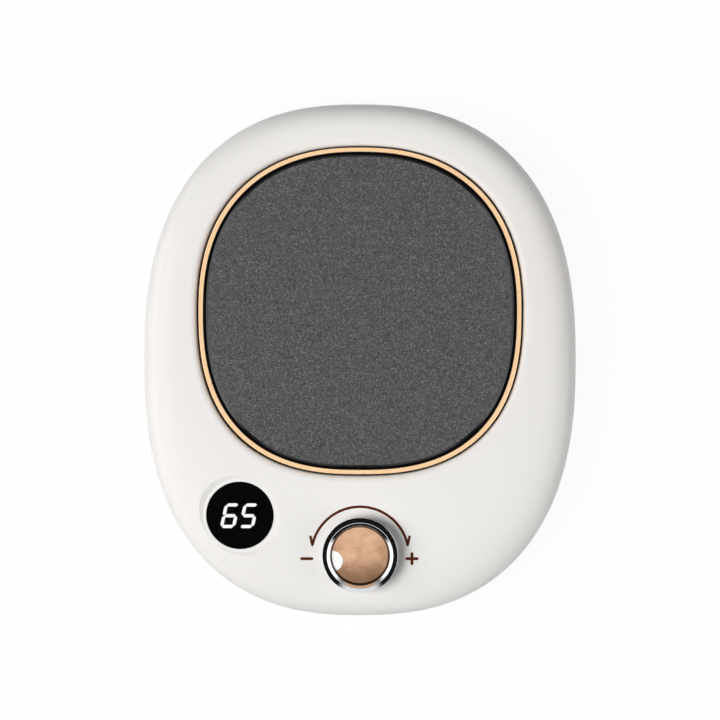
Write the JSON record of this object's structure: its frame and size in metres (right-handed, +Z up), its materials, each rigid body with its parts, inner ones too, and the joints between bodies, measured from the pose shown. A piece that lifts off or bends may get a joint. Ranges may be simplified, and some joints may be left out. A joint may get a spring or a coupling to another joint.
{
  "type": "mug warmer",
  "caption": "Low oval electric mug warmer with a large glass heating plate in a gold ring, a round digital temperature display and a wood-faced chrome knob that turns and presses.",
  "frame": {"origin": "on the surface that it stands on, under the middle of the outline", "axes": "+X to the right seen from the knob side, +Y to the rear where the supply inlet is, +Z up"},
  "size_m": [0.129, 0.1528, 0.0359],
  "materials": {
    "shell_white": "satin moulded off-white",
    "ring_gold": "satin rose-gold plating",
    "seal_black": "matt silicone",
    "frame_black": "heat-resistant moulding",
    "plate_grey": "frosted top with fine sparkle and a polished bevel",
    "spreader_aluminium": "rolled sheet",
    "film_amber": "polyimide film with etched foil",
    "pad_felt": "needled glass felt",
    "retainer_steel": "zinc-plated pressing",
    "screw_steel": "zinc-plated screws",
    "sensor_white": "moulded",
    "cutout_black": "moulded",
    "lead_red": "silicone sleeve",
    "lead_black": "silicone sleeve",
    "lead_grey": "ribbon sleeve",
    "foot_rubber": "matt",
    "lens_smoke": "polished smoked acrylic",
    "digit_lit": "lit light bars",
    "digit_off": "unlit light bars",
    "module_black": "painted face",
    "board_green": "solder mask on glass-epoxy",
    "connector_cream": "moulded header",
    "chip_black": "moulded package",
    "can_silver": "drawn can",
    "case_grey": "die-cast",
    "plunger_black": "moulded",
    "dome_steel": "stamped",
    "pin_brass": "tinned",
    "collar_chrome": "polished chrome plating",
    "insert_wood": "fine even grain, clear satin lacquer",
    "marker_white": "gloss",
    "hub_black": "moulded",
    "inlet_steel": "nickel-plated sheet",
    "inlet_black": "moulded"
  },
  "bodies": {
    "housing": {"top_shell": "shell_white", "base_shell": "shell_white", "rubber_feet": "foot_rubber", "housing_screws": "screw_steel", "plate_frame": "frame_black", "trim_ring": "ring_gold", "plate_seal": "seal_black", "plate_glass": "plate_grey", "heat_spreader": "spreader_aluminium", "heating_film": "film_amber", "insulation_pad": "pad_felt", "heater_retainer": "retainer_steel", "retainer_screws": "screw_steel", "temperature_sensor": "sensor_white", "thermal_cutout": "cutout_black", "heater_leads": "lead_red", "sensor_leads": "lead_black", "display_lens": "lens_smoke", "display_digits": "digit_lit", "display_segments_off": "digit_off", "display_module": "module_black", "display_board": "board_green", "display_screws": "screw_steel", "display_connector": "connector_cream", "display_harness": "lead_grey", "encoder_case": "case_grey", "snap_dome": "dome_steel", "encoder_terminals": "pin_brass", "control_board": "board_green", "control_screws": "screw_steel", "microcontroller": "chip_black", "buzzer": "chip_black", "control_connectors": "connector_cream", "power_board": "board_green", "power_board_screws": "screw_steel", "power_transistor": "chip_black", "capacitors": "can_silver", "board_connectors": "connector_cream", "usb_socket_shell": "inlet_steel", "usb_socket_tongue": "inlet_black", "panel_harness": "lead_grey"},
    "plunger": {"encoder_plunger": "plunger_black"},
    "knob": {"knob_collar": "collar_chrome", "knob_hub": "hub_black", "knob_insert": "insert_wood", "knob_marker": "marker_white", "encoder_shaft": "case_grey"}
  },
  "joints": [
    {"name": "knob_press", "type": "slide", "parent": "housing", "child": "plunger", "axis": [0, 0.1018, -0.9948], "range_m": [0, 0.0005], "stiffness_N_per_m": 2000, "springref_m": -0.001},
    {"name": "knob_turn", "type": "hinge", "parent": "plunger", "child": "knob", "pos_m": [0, -0.05688, 0.02718], "axis": [0, -0.1018, 0.9948], "continuous": true}
  ]
}
